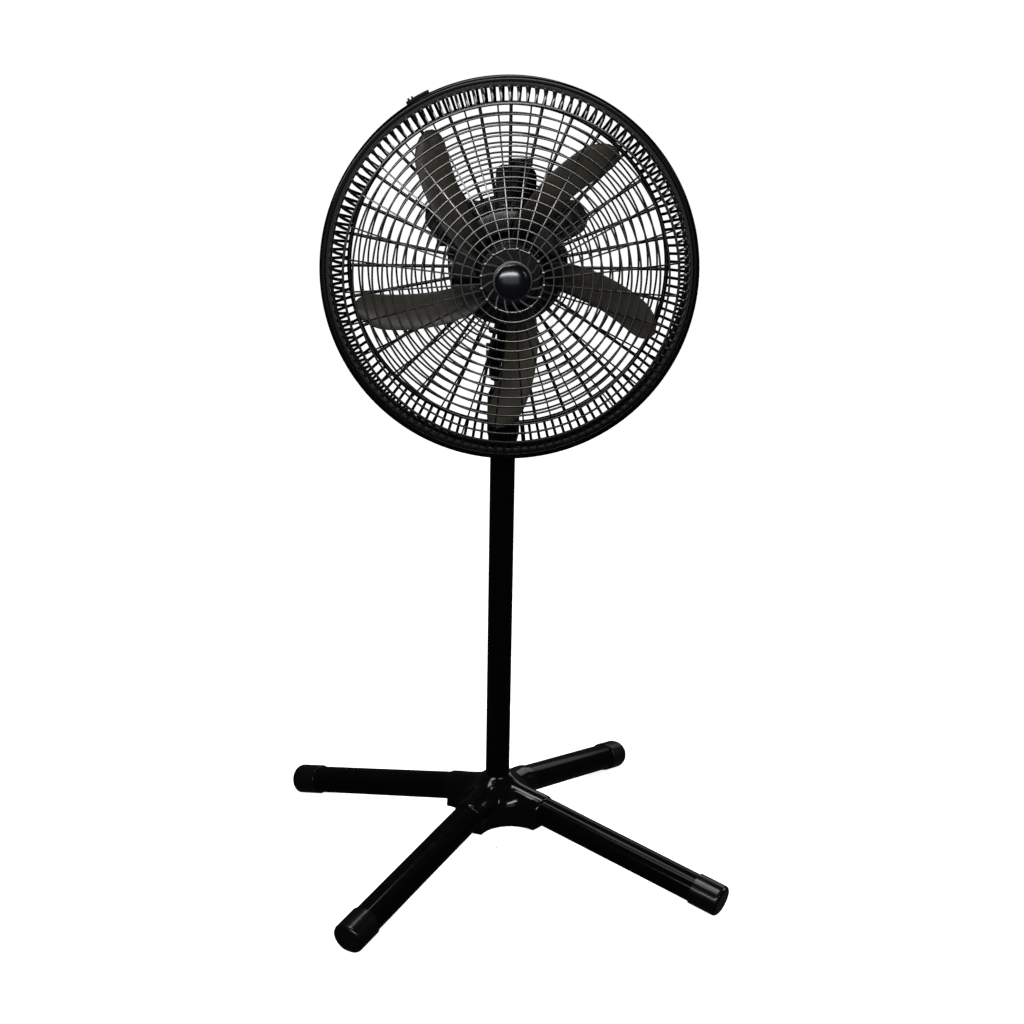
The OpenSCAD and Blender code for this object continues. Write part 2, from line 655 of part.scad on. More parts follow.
module blade() {
    n = (rows + 1) * (cols + 1);
    grid = [for (lift = [1.2, -1.2], i = [0:rows], j = [0:cols]) blade_point(i / rows, 2 * j / cols - 1, lift)];
    at = function(i, j, side) side * n + i * (cols + 1) + j;
    faces = concat(
        [for (i = [0:rows - 1], j = [0:cols - 1]) each [
            [at(i, j, 0), at(i, j + 1, 0), at(i + 1, j + 1, 0)], [at(i, j, 0), at(i + 1, j + 1, 0), at(i + 1, j, 0)],
            [at(i, j, 1), at(i + 1, j + 1, 1), at(i, j + 1, 1)], [at(i, j, 1), at(i + 1, j, 1), at(i + 1, j + 1, 1)]]],
        [for (i = [0:rows - 1]) each [
            [at(i, 0, 0), at(i + 1, 0, 0), at(i + 1, 0, 1)], [at(i, 0, 0), at(i + 1, 0, 1), at(i, 0, 1)],
            [at(i, cols, 0), at(i + 1, cols, 1), at(i + 1, cols, 0)], [at(i, cols, 0), at(i, cols, 1), at(i + 1, cols, 1)]]],
        [for (j = [0:cols - 1]) each [
            [at(0, j, 0), at(0, j + 1, 1), at(0, j + 1, 0)], [at(0, j, 0), at(0, j, 1), at(0, j + 1, 1)],
            [at(rows, j, 0), at(rows, j + 1, 0), at(rows, j + 1, 1)], [at(rows, j, 0), at(rows, j + 1, 1), at(rows, j, 1)]]]);
    polyhedron(grid, faces);
}

module impeller() color([0.24, 0.23, 0.2]) on_head() difference() {
    union() {
        rotate_extrude($fn = 96) polygon([[0, 108], [9, 108], [9, 146], [hub_cup_r - 2.4, 146],
            [hub_cup_r - 2.4, 110], [hub_cup_r, 110], [hub_cup_r, 148], [hub_cup_r - 3, 150.5], [0, 150.5]]);
        disc(9, 100.5, 110);
        for (i = [0:blade_count - 1]) rotate(360 / blade_count * i) blade();
    }
    disc(shaft_r + gap, 99, 152);
    translate([-1.7, -10, 99]) cube([3.4, 20, 5.2]);
}

module spinner_nut() color([0.05, 0.05, 0.05]) on_head() difference() {
    rotate_extrude() polygon([[0, 150.7], [15, 150.7], [15, 156], [11, 164], [6, 169], [0, 170]]);
    disc(shaft_r + gap, 150, 166);
}

base_hub();
leg(0);  // leg_1
leg(1);  // leg_2
leg(2);  // leg_3
leg(3);  // leg_4
foot_cap(0);  // foot_cap_1
foot_cap(1);  // foot_cap_2
foot_cap(2);  // foot_cap_3
foot_cap(3);  // foot_cap_4
leg_screws();
pole_plug();
pole_bolt();
pole_washer();
outer_tube();
height_collar();
collar_bush();
collar_knob();
inner_tube();
guide_bush();
neck_socket();
neck_screw();
tilt_bolt();
tilt_nut();
swivel_bracket();
pivot_clip();
link_arm();
crank();
clutch_shaft();
worm_wheel();
clutch_knob();
motor_frame();
front_shield();
stator_core();
windings();
motor_screws();
front_bearing();
rear_bearing();
gearbox_frame();
rear_casing();
front_casing();
casing_screws();
speed_switch();
speed_knob();
capacitor();
cord_gland();
rear_guard();
guard_nut();
guard_band();
band_clip();
band_screw();
front_guard();
badge();
impeller();
spinner_nut();
drive_pin();
motor_shaft();
rotor();
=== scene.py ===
"""Pedestal fan: its looks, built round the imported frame. Metres, the frame's own axes.

The head's pieces are worked out in the head's own frame (x right, y up, z forward along the
fan's axis, zero at the swing axis) and turned into the row's frame at the end.
"""
import json
import math

import bmesh
import bpy
import numpy as np
from mathutils import Matrix, Vector


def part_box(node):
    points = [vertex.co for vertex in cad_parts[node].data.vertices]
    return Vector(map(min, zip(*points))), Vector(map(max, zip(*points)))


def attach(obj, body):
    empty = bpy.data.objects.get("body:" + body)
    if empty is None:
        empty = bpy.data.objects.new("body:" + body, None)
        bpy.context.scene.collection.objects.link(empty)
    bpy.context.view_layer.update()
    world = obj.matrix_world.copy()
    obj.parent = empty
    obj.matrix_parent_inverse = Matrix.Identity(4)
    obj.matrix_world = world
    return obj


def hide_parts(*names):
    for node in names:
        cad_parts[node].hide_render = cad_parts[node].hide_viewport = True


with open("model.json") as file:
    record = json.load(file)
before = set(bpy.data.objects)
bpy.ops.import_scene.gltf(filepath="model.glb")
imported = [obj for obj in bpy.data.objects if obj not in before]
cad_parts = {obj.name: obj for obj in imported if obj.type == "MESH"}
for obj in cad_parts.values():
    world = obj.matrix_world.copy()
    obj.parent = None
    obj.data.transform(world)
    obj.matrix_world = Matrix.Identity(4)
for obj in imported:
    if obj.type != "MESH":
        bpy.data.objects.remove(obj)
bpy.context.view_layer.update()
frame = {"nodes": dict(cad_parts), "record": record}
MM = 0.001
TAU = 2 * math.pi


# ---------- sizes, from the frame ----------

def extent(node):
    """Lowest and highest corner of a node, as arrays."""
    low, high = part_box(node)
    return np.array(low), np.array(high)


band_low, band_high = extent("guard_band")
AXIS_H = (band_low[2] + band_high[2]) / 2
BAND_R = (band_high[0] - band_low[0]) / 2
BAND_FRONT = -band_low[1]
BAND_BACK = -band_high[1]
pole_low, pole_high = extent("outer_tube")
POLE_R = (pole_high[0] - pole_low[0]) / 2
POLE_TOP = pole_high[2]

LEGS = 4
LEG_REACH = 348 * MM
LEG_TURN = math.radians(-34)
LEG_W = 39 * MM
LEG_H = 36.5 * MM
LEG_MEET_H = 90.5 * MM
CAP_LEN = 40 * MM
CAP_SKIN = 1.8 * MM
CAP_ROUND = 5 * MM
CAP_FLAT = 1.4 * MM
LEG_DROOP = math.asin((LEG_MEET_H - LEG_H / 2 - CAP_SKIN + CAP_FLAT) / (LEG_REACH - CAP_ROUND))

RING_FIRST = 35.3 * MM
RING_PITCH = 11.1 * MM
RING_COUNT = 15
RING_DEPTH = 3.0 * MM
BAR = 2.4 * MM
BAR_DEPTH = 2.6 * MM
SPOKE = 2.0 * MM
EDGE_RIB = 3.7 * MM
REAR_RIB = 4.2 * MM
RING_LAST = RING_FIRST + RING_PITCH * (RING_COUNT - 1)
SPOKES = 32
EDGE_RIBS = 128
DOME_EDGE = 180 * MM
DOME_RISE = 28 * MM
REAR_RING_R = 188.5 * MM
REAR_RING_Z = 84 * MM
REAR_RINGS = 11
REAR_RIBS = 32
REAR_RING_SIZE = 5.2 * MM
REAR_NET_Z = REAR_RING_Z - 2 * MM
REAR_RIB_ROOT = 62 * MM
REAR_RIB_DEPTH = 2.4 * MM
FLANGE_IN = 207.5 * MM
FLANGE_OUT = 217 * MM
SWIRL_RIBS = 16
SWIRL_LEN = 15.5 * MM
SWIRL_LEAN = math.radians(30)
BADGE_R = 20.5 * MM
BADGE_SEAT_R = 24 * MM


# ---------- mesh kit ----------

class Surface:
    """Gathers closed grids of points and turns them into one mesh."""

    def __init__(self):
        self.points, self.quads, self.tris, self.count = [], [], [], 0

    def add(self, grid, loop_u=False, loop_v=False, cap_u=False):
        """Adds a grid of shape (u, v, 3): each face joins four neighbours. loop_* joins the last
        row to the first, and cap_u closes the first and last row with a fan round its middle."""
        grid = np.asarray(grid, float)
        nu, nv = grid.shape[:2]
        index = np.arange(nu * nv).reshape(nu, nv) + self.count
        if loop_u:
            index = np.vstack([index, index[:1]])
        if loop_v:
            index = np.hstack([index, index[:, :1]])
        quads = np.stack([index[:-1, :-1], index[1:, :-1], index[1:, 1:], index[:-1, 1:]], -1)
        self.quads.append(quads.reshape(-1, 4))
        self.points.append(grid.reshape(-1, 3))
        self.count += nu * nv
        if cap_u:
            for row, flip in ((0, False), (nu - 1, True)):
                rim = index[row]
                self.points.append(grid[row].mean(0)[None])
                a, b = (rim[1:], rim[:-1]) if flip else (rim[:-1], rim[1:])
                self.tris.append(np.stack([a, b, np.full(len(a), self.count)], -1))
                self.count += 1
        return self

    def add_many(self, grids, **how):
        """Adds a stack of grids of shape (n, u, v, 3)."""
        for grid in grids:
            self.add(grid, **how)
        return self

    def piece(self, name, body, replaces, slot, place=None, smooth_angle=35.0):
        """Makes the mesh object, lets it ride on its body and gives it its slot's finish."""
        points = np.concatenate(self.points)
        if place is not None:
            points = place(points)
        quads = np.concatenate(self.quads)
        tris = np.concatenate(self.tris) if self.tris else np.zeros((0, 3), int)
        mesh = bpy.data.meshes.new(name)
        mesh.vertices.add(len(points))
        mesh.vertices.foreach_set("co", points.astype(np.float32).ravel())
        loops = np.concatenate([quads.ravel(), tris.ravel()])
        sizes = np.concatenate([np.full(len(quads), 4), np.full(len(tris), 3)])
        mesh.loops.add(len(loops))
        mesh.loops.foreach_set("vertex_index", loops.astype(np.int32))
        mesh.polygons.add(len(sizes))
        mesh.polygons.foreach_set("loop_start", (np.cumsum(sizes) - sizes).astype(np.int32))
        mesh.update(calc_edges=True)
        outward(mesh)
        shade_smooth(mesh)
        mesh.set_sharp_from_angle(angle=math.radians(smooth_angle))
        piece = bpy.data.objects.new(name, mesh)
        bpy.context.scene.collection.objects.link(piece)
        mesh.materials.append(FINISHES[slot])
        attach(piece, body)
        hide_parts(*replaces)
        return piece


def outward(mesh):
    """Turns every closed shell's faces outwards."""
    shells = bmesh.new()
    shells.from_mesh(mesh)
    bmesh.ops.recalc_face_normals(shells, faces=shells.faces)
    shells.to_mesh(mesh)
    shells.free()


def shade_smooth(mesh):
    """Shades every face of a mesh as part of a smooth surface."""
    mesh.polygons.foreach_set("use_smooth", np.ones(len(mesh.polygons), bool))


def rounded(corners, radii, steps):
    """Closed outline with arcs at its corners. The arc of radius r at a corner of half-angle a touches
    both sides r / tan(a) away from the corner."""
    corners = np.asarray(corners, float)
    radii = np.broadcast_to(np.asarray(radii, float), (len(corners),))
    out = []
    for i, (corner, r) in enumerate(zip(corners, radii)):
        if r <= 0:
            out.append(corner[None])
            continue
        back = corners[i - 1] - corner
        ahead = corners[(i + 1) % len(corners)] - corner
        back_len, ahead_len = np.hypot(*back), np.hypot(*ahead)
        back, ahead = back / back_len, ahead / ahead_len
        half = math.acos(np.clip(back @ ahead, -1, 1)) / 2
        reach = min(r / math.tan(half), 0.49 * back_len, 0.49 * ahead_len)
        t = np.linspace(0, 1, steps + 1)[:, None]
        start, end = corner + back * reach, corner + ahead * reach
        weight = math.sin(half)
        blend = (1 - t) ** 2 + 2 * t * (1 - t) * weight + t ** 2
        out.append(((1 - t) ** 2 * start + 2 * t * (1 - t) * weight * corner + t ** 2 * end) / blend)
    return np.concatenate(out)


def lathe(profile, turns):
    """Profile of (r, z) points turned about the z axis: (r cos a, r sin a, z)."""
    profile = np.asarray(profile, float)
    a = np.linspace(0, TAU, turns, endpoint=False)[:, None]
    r, z = profile[None, :, 0], profile[None, :, 1]
    return np.stack([r * np.cos(a), r * np.sin(a), z + 0 * a], -1)


def loop_section(w, h, n, power=0.7):
    """Rounded-rectangle section of n points: (w/2 |cos|^p, h/2 |sin|^p) with the signs of cos and sin."""
    a = np.linspace(0, TAU, n, endpoint=False) + math.pi / n
    c, s = np.cos(a), np.sin(a)
    return np.stack([np.sign(c) * np.abs(c) ** power * w / 2, np.sign(s) * np.abs(s) ** power * h / 2], -1)


def curve(start, corner, end, t):
    """Quadratic curve: start (1 - t)^2 + 2 corner t (1 - t) + end t^2."""
    return start * (1 - t) ** 2 + 2 * t * (1 - t) * corner + end * t ** 2


def sweep(path, side, up, section):
    """Section (s0, s1) carried along a path: path + side * s0 + up * s1."""
    return path[:, None] + side[:, None] * section[None, :, :1] + up[:, None] * section[None, :, 1:]


def spun(grid, count, phase=0.0):
    """Copies of a grid turned about the z axis in equal steps, the k-th by (k + phase) / count turns."""
    a = (np.arange(count) + phase) * TAU / count
    turn = np.zeros((count, 3, 3))
    turn[:, 0, 0] = turn[:, 1, 1] = np.cos(a)
    turn[:, 0, 1], turn[:, 1, 0] = -np.sin(a), np.sin(a)
    turn[:, 2, 2] = 1
    return np.einsum("kij,uvj->kuvi", turn, grid)


def radial_bar(r, z, w, h):
    """Bar in the plane of x and z that follows (r, z), h thick across its path and w wide."""
    path = np.stack([r, 0 * r, z], -1)
    ahead = np.gradient(path, axis=0)
    ahead /= np.linalg.norm(ahead, axis=1, keepdims=True)
    side = np.broadcast_to([0.0, 1.0, 0.0], path.shape)
    return sweep(path, side, np.cross(ahead, side), loop_section(w, h, 8, 0.75))


def ring_bar(r, z, w, h, turns, n=10):
    """Closed ring: a rounded section w by h, at radius r and height z, turned about the z axis."""
    section = loop_section(w, h, n)
    return lathe(np.stack([r + section[:, 0], z + section[:, 1]], -1), turns)


def from_head(points):
    """Head frame to row frame: (x, -z, y + axis height)."""
    return np.stack([points[:, 0], -points[:, 2], points[:, 1] + AXIS_H], -1)


# ---------- finishes ----------

class Value:
    """A shader socket that Python's operators work on, each adding a Math node."""

    def __init__(self, finish, socket):
        self.finish, self.socket = finish, socket

    def _math(self, operation, first, second):
        node = self.finish.node("ShaderNodeMath", {"operation": operation}, {0: first, 1: second})
        return Value(self.finish, node.outputs[0])

    def __add__(self, other):
        return self._math("ADD", self, other)

    __radd__ = __add__

    def __mul__(self, other):
        return self._math("MULTIPLY", self, other)

    __rmul__ = __mul__


class Finish:
    """One procedural material round a Principled shader."""

    def __init__(self, name, **constants):
        self.material = bpy.data.materials.new(name)
        self.material.use_nodes = True
        self.tree = self.material.node_tree
        self.shader = self.tree.nodes["Principled BSDF"]
        for key, value in constants.items():
            self.shader.inputs[key.replace("_", " ")].default_value = value

    def node(self, kind, settings=None, values=None):
        """Adds a node: its settings first, then its sockets' values or links."""
        node = self.tree.nodes.new(kind)
        for key, value in (settings or {}).items():
            setattr(node, key, value)
        for key, value in (values or {}).items():
            if isinstance(value, Value):
                self.tree.links.new(value.socket, node.inputs[key])
            elif isinstance(value, bpy.types.NodeSocket):
                self.tree.links.new(value, node.inputs[key])
            else:
                node.inputs[key].default_value = value
        return node

    def spot(self):
        """Object coordinates."""
        return self.node("ShaderNodeTexCoord").outputs["Object"]

    def noise(self, scale, detail=2.0, roughness=0.5, place=None):
        """Noise at a place, which is the object coordinates if none is given."""
        node = self.node("ShaderNodeTexNoise", None, {
            "Vector": place or self.spot(), "Scale": scale, "Detail": detail, "Roughness": roughness})
        return Value(self, node.outputs["Fac"])

    def stretched(self, stretch):
        """Object coordinates scaled by three factors."""
        return self.node("ShaderNodeMapping", None, {"Vector": self.spot(), "Scale": stretch}).outputs[0]

    def ramp(self, value, low, high, first=0.0, last=1.0):
        """Value mapped from low..high to first..last, and held at the ends."""
        node = self.node("ShaderNodeMapRange", {"clamp": True}, {
            "Value": value, "From Min": low, "From Max": high, "To Min": first, "To Max": last})
        return Value(self, node.outputs[0])

    def mix(self, factor, first, last):
        """Colour between two colours."""
        node = self.node("ShaderNodeMix", {"data_type": "RGBA"}, {0: factor, 6: first, 7: last})
        return node.outputs[2]

    def facing(self, axis):
        """Component of the surface's normal along an axis of the row frame."""
        normal = self.node("ShaderNodeNewGeometry").outputs["Normal"]
        parts = self.node("ShaderNodeSeparateXYZ", None, {0: normal})
        return Value(self, parts.outputs[axis])

    def soft_edge(self, radius):
        """Normal that turns smoothly across sharp edges, as a moulded edge does."""
        return self.node("ShaderNodeBevel", {"samples": 4}, {"Radius": radius}).outputs[0]

    def feed(self, socket, value):
        """Links a value to one of the shader's sockets."""
        source = value.socket if isinstance(value, Value) else value
        self.tree.links.new(source, self.shader.inputs[socket])

    def bump(self, height, distance, strength, under=None):
        """Normal raised by a height, on top of another normal where one is given."""
        values = {"Height": height, "Distance": distance, "Strength": strength}
        if under is not None:
            values["Normal"] = under
        return self.node("ShaderNodeBump", None, values).outputs[0]


def rgba(r, g, b):
    """Opaque colour."""
    return (r, g, b, 1.0)


def black_plastic(name, colour, rough, gloss=0.3, grain=0.0, dust=0.05):
    """Moulded black plastic: slow ripple of the moulding, fine grain, a little settled dust."""
    f = Finish(name, Specular_IOR_Level=gloss)
    blotch = f.noise(38.0, 3.0)
    fine = f.noise(900.0, 2.0)
    settled = f.ramp(f.facing(2), 0.3, 1.0) * f.ramp(f.noise(120.0, 4.0, 0.65), 0.45, 0.8) * dust
    f.feed("Base Color", f.mix(settled, rgba(*colour), rgba(0.03, 0.0295, 0.027)))
    f.feed("Roughness", f.ramp(blotch, 0.3, 0.7, rough * 0.85, rough * 1.15) + settled * 0.3 + fine * 0.01)
    ripple = f.bump(f.noise(26.0, 1.0), 0.00003, 0.5, f.soft_edge(0.7 * MM))
    f.feed("Normal", f.bump(fine, 0.000008 + grain, 0.3, ripple))
    return f.material


def black_paint(name):
    """Stoved black paint on tube: faint orange peel, thin dust on top, hair scratches."""
    rough = 0.12
    f = Finish(name, Specular_IOR_Level=0.07)
    peel = f.noise(420.0, 1.5)
    hairs = f.noise(60.0, 6.0, 0.7, f.stretched((9.0, 9.0, 0.6)))
    settled = f.ramp(f.facing(2), 0.5, 1.0) * f.ramp(f.noise(90.0, 5.0, 0.7), 0.4, 0.85) * 0.08
    f.feed("Base Color", f.mix(settled, rgba(0.0016, 0.0016, 0.0018), rgba(0.04, 0.039, 0.036)))
    f.feed("Roughness", f.ramp(hairs, 0.35, 0.75, rough * 0.85, rough * 1.2) + settled * 0.3)
    f.feed("Normal", f.bump(peel, 0.00001, 0.3))
    return f.material


def guard_plastic(name):
    """Black grille plastic, polished in the middle of its front and duller towards its rim and its back."""
    f = Finish(name, Specular_IOR_Level=0.25, Coat_IOR=1.6, Coat_Roughness=0.22)
    offset = f.node("ShaderNodeVectorMath", {"operation": "SUBTRACT"}, {0: f.spot(), 1: (0.0, 0.0, AXIS_H)})
    flat = f.node("ShaderNodeVectorMath", {"operation": "MULTIPLY"},
                  {0: offset.outputs[0], 1: (1.0, 0.0, 1.0)})
    reach = f.node("ShaderNodeVectorMath", {"operation": "LENGTH"}, {0: flat.outputs[0]})
    depth = f.node("ShaderNodeSeparateXYZ", None, {0: f.spot()}).outputs[1]
    front = f.ramp(depth, -0.16, -0.12, 1.0, 0.0)
    f.feed("Coat Weight", front * f.ramp(Value(f, reach.outputs["Value"]), 0.12, 0.2, 1.0, 0.25))
    mottle = f.noise(140.0, 3.0)
    f.feed("Base Color", f.mix(mottle, rgba(0.0014, 0.0014, 0.0016), rgba(0.0026, 0.0026, 0.003)))
    polish = f.ramp(Value(f, reach.outputs["Value"]), 0.038, 0.05, 0.35, 1.0)
    f.feed("Roughness", f.ramp(mottle, 0.3, 0.7, 0.14, 0.2) * polish)
    f.feed("Normal", f.bump(f.noise(700.0), 0.000008, 0.3))
    return f.material


def smoke_plastic(name):
    """Smoke-brown blade plastic that lets a little light through: faint flow marks, and painted shade that
    darkens it towards the root.
    """
    f = Finish(name, Specular_IOR_Level=0.2, Alpha=0.92)
    flow = f.noise(18.0, 4.0, 0.6, f.stretched((1.0, 0.4, 1.0)))
    fine = f.noise(300.0, 3.0)
    centre = f.node("ShaderNodeVectorMath", {"operation": "DISTANCE"}, {0: f.spot(), 1: (0.0, -0.13, AXIS_H)})
    # painted shade: the blades go near-black within 45 to 90 mm of the axis, where they lie in front of the
    # dark motor
    dark = f.ramp(Value(f, centre.outputs["Value"]), 45 * MM, 90 * MM)
    tone = f.mix(f.ramp(flow, 0.3, 0.7), rgba(0.034, 0.0305, 0.021), rgba(0.052, 0.0465, 0.034))
    # the root's near-black painted shade laid over the flow-marked tone
    f.feed("Base Color", f.mix(dark, rgba(0.003, 0.0028, 0.0025), tone))
    f.feed("Roughness", f.ramp(fine, 0.3, 0.7, 0.3, 0.42))
    f.feed("Normal", f.bump(flow, 0.0002, 0.4))
    return f.material


def metal(name, colour, rough, grain=(1.0, 1.0, 1.0), scale=500.0):
    """Bare metal with a grain along the stretched direction and uneven plating."""
    f = Finish(name, Metallic=1.0)
    tone = f.noise(70.0, 3.0)
    lines = f.noise(scale, 3.0, 0.6, f.stretched(grain))
    dark = tuple(c * 0.7 for c in colour)
    f.feed("Base Color", f.mix(f.ramp(tone, 0.3, 0.7), rgba(*dark), rgba(*colour)))
    f.feed("Roughness", f.ramp(lines, 0.3, 0.7, rough * 0.75, rough * 1.3))
    f.feed("Normal", f.bump(lines, 0.00003, 0.5))
    return f.material


def plain_moulding(name, colour):
    """Undyed inner moulding with a soft mottle."""
    rough = 0.45
    f = Finish(name)
    tone = f.noise(60.0, 4.0)
    f.feed("Base Color", f.mix(tone, rgba(*[c * 0.85 for c in colour]), rgba(*colour)))
    f.feed("Roughness", f.ramp(f.noise(400.0), 0.3, 0.7, rough * 0.8, rough * 1.2))
    f.feed("Normal", f.bump(f.noise(700.0), 0.00002, 0.5))
    return f.material


FINISHES = {
    "black_plastic": black_plastic("gloss_black_moulding", (0.0016, 0.0017, 0.0018), 0.1),
    "black_paint": black_paint("stoved_black_paint"),
    "cap_plastic": black_plastic("satin_black_moulding", (0.0022, 0.0022, 0.0023), 0.22, grain=0.000006),
    "knob_plastic": black_plastic("satin_black_knob", (0.003, 0.003, 0.0032), 0.3, grain=0.00001),
    "band_plastic": black_plastic("gloss_black_band", (0.0014, 0.0014, 0.0016), 0.12, 0.12),
    "guard_plastic": guard_plastic("gloss_black_guard"),
    "badge_plastic": black_plastic("gloss_blue_black_cap", (0.002, 0.003, 0.005), 0.17, 0.6, dust=0.0),
    "blade_plastic": smoke_plastic("smoke_brown_blade"),
    "natural_plastic": plain_moulding("undyed_moulding", (0.7, 0.68, 0.6)),
    "rubber_black": black_plastic("black_rubber", (0.008, 0.008, 0.008), 0.6, 0.2, grain=0.00004),
    "zinc_steel": metal("zinc_plated_steel", (0.62, 0.63, 0.65), 0.32),
    "chrome_tube": metal("plated_tube", (0.75, 0.76, 0.78), 0.12, (1.0, 1.0, 0.05)),
    "cast_alloy": metal("cast_alloy", (0.62, 0.63, 0.64), 0.5, scale=260.0),
    "lamination": metal("stacked_steel_sheet", (0.32, 0.32, 0.34), 0.45, (0.1, 9.0, 0.1), 300.0),
    "copper_wire": metal("enamelled_copper", (0.65, 0.28, 0.12), 0.3, (0.4, 6.0, 0.4), 400.0),
    "bronze": metal("sintered_bronze", (0.6, 0.42, 0.2), 0.45),
}
for part in frame["record"]["subparts"]:
    shown = frame["nodes"][part["node"]]
    shown.data.materials.clear()
    shown.data.materials.append(FINISHES[part["material_slot"]])


# ---------- base ----------

def leg_axes(i):
    """Meeting point, outward axis, sideways axis and upward axis of a leg. The outward axis is
    (cos a cos d, sin a cos d, -sin d), with a the leg's turn and d its droop."""
    turn = LEG_TURN + i * TAU / LEGS
    c, s = math.cos(turn), math.sin(turn)
    along = np.array([c * math.cos(LEG_DROOP), s * math.cos(LEG_DROOP), -math.sin(LEG_DROOP)])
    side = np.array([-s, c, 0.0])
    return np.array([0, 0, LEG_MEET_H]), along, side, np.cross(along, side)


def oval(grow):
    """Leg section: two half circles of radius r = LEG_H / 2 + grow, pushed p apart sideways:
    (r cos a + p tanh(8 cos a), r sin a)."""
    a = np.linspace(0, TAU, 48, endpoint=False)
    r = LEG_H / 2 + grow
    apart = (LEG_W - LEG_H) / 2
    c = np.cos(a)
    return np.stack([r * c + apart * np.tanh(8 * c), r * np.sin(a)], -1)


def along_leg(i, stations):
    """Surface along a leg: each station is a distance s from the meeting point and a growth of the oval
    (x, y), and gives the row start + along * s + side * x + up * y."""
    start, along, side, up = leg_axes(i)
    rows = [start + along * s + side * oval(g)[:, :1] + up * oval(g)[:, 1:] for s, g in stations]
    return np.stack(rows)


def legs():
    """Four oval leg tubes and the caps on their ends. A tube's oval stays the same all along. A cap's
    oval is wider by its skin, closes over a quarter circle at the end, and is cut flat at the floor."""
    for i in range(LEGS):
        stations = [(24 * MM, 0)] + [(s, 0) for s in np.linspace(30 * MM, LEG_REACH - 6 * MM, 24)]
        tube = Surface().add(along_leg(i, stations), loop_v=True, cap_u=True)
        tube.piece(f"leg_tube_{i + 1}", "stand", [f"leg_{i + 1}"], "black_paint")
        foot = LEG_REACH - CAP_LEN
        turn = np.linspace(0, math.pi / 2, 9)
        stations = [(foot, -0.8 * MM), (foot, 0.4 * MM), (foot, 1.2 * MM), (foot + 0.5 * MM, CAP_SKIN)]
        stations += [(s, CAP_SKIN) for s in np.linspace(foot + 3 * MM, LEG_REACH - CAP_ROUND - 1 * MM, 8)]
        stations += [(LEG_REACH - CAP_ROUND * (1 - math.sin(t)), CAP_SKIN - CAP_ROUND * (1 - math.cos(t)))
                     for t in turn]
        stations += [(LEG_REACH, CAP_SKIN - CAP_ROUND - 4 * MM), (LEG_REACH, -13 * MM)]
        grid = along_leg(i, stations)
        grid[..., 2] = np.maximum(grid[..., 2], 0.0)
        Surface().add(grid, loop_v=True, cap_u=True).piece(
            f"foot_sleeve_{i + 1}", "stand", [f"foot_cap_{i + 1}"], "cap_plastic")


HUB_R = 77 * MM
HUB_FLOOR = 52 * MM
HUB_NECK_TOP = 114 * MM
HUB_NECK_R = 18.6 * MM
HOLLOW_R = 42 * MM
HOLLOW_AXIS_R = 87.5 * MM
HOLLOW_DROP = 10 * MM
HOLLOW_TAPER = 2 / 76
HUB_BLEND = 7 * MM
ROOF_AT = np.array([75, 88, 102, 110, 114]) * MM
ROOF_R = np.array([77, 46, 30, 22, 18.9]) * MM
SOCKET_SKIN = 1.9 * MM
SOCKET_END = 76 * MM
SKIN_CELL = 1.25 * MM
SKIN_ROUNDS = 110


def hub_radius(a, z):
    """Hub's radius at angle a and height z: the softer minimum -k log(e^(-p / k) + e^(-q / k)) of the
    plan p and the roof q, with k the blend. The plan is a circle with a hollow arc between each two
    legs: on a ray at d from the hollow's middle the arc stands at c cos d - sqrt(h^2 - (c sin d)^2),
    and h grows with the height."""
    centre = HOLLOW_AXIS_R
    hollow = HOLLOW_R + HOLLOW_TAPER * (z - HUB_FLOOR + HOLLOW_DROP)
    d = (a - LEG_TURN) % (TAU / LEGS) - TAU / (2 * LEGS)
    inside = hollow ** 2 - (centre * np.sin(d)) ** 2
    arc = centre * np.cos(d) - np.sqrt(np.maximum(inside, 0))
    plan = np.where(inside > 0, np.minimum(arc, HUB_R), HUB_R)
    roof = np.interp(z, ROOF_AT, ROOF_R)
    return -HUB_BLEND * np.log(np.exp(-plan / HUB_BLEND) + np.exp(-roof / HUB_BLEND))


def hub():
    """Hub: the hollow-sided body (r cos a, r sin a, z), a neck round the pole and four sockets that are
    ovals carried along the legs, joined into one moulding with soft creases."""
    a = np.linspace(0, TAU, 360, endpoint=False)
    level = np.concatenate([[HUB_FLOOR] * 3, np.linspace(HUB_FLOOR, HUB_NECK_TOP, 46)])
    share = np.concatenate([[0.02, 0.5, 0.98], np.ones(46)])
    r = hub_radius(a[None], level[:, None]) * share[:, None]
    rows = np.stack([r * np.cos(a), r * np.sin(a), np.broadcast_to(level[:, None], r.shape)], -1)
    shell = Surface().add(rows, loop_v=True, cap_u=True)
    neck = [(0.1 * MM, HUB_FLOOR + 4 * MM), (HUB_NECK_R, HUB_FLOOR + 4 * MM),
            (HUB_NECK_R, HUB_NECK_TOP - 1 * MM), (HUB_NECK_R - 1 * MM, HUB_NECK_TOP),
            (0.1 * MM, HUB_NECK_TOP)]
    shell.add(lathe(neck, 96), loop_u=True, loop_v=True)
    for i in range(LEGS):
        stations = [(s, SOCKET_SKIN) for s in np.linspace(10 * MM, SOCKET_END - 1 * MM, 8)]
        stations += [(SOCKET_END - 0.3 * MM, SOCKET_SKIN - 0.5 * MM), (SOCKET_END, SOCKET_SKIN - 1.4 * MM)]
        shell.add(along_leg(i, stations), loop_v=True, cap_u=True)
    piece = shell.piece("cross_hub", "stand", ["base_hub"], "black_plastic")
    melt(piece, SKIN_CELL)
    soften(piece.data, SKIN_ROUNDS, crease_weight)


def crease_weight(points):
    """Share of the softening at each point of the hub: it climbs from 0.02 to 1 between 5 and 17 mm
    above the hub's floor, and falls from 1 to 0.1 between 54 and 65 mm from the pole's axis."""
    above = np.clip((points[:, 2] - HUB_FLOOR - 5 * MM) / (12 * MM), 0.02, 1)
    inside = np.clip((66 * MM - np.hypot(points[:, 0], points[:, 1])) / (12 * MM), 0.1, 1)
    return above * inside


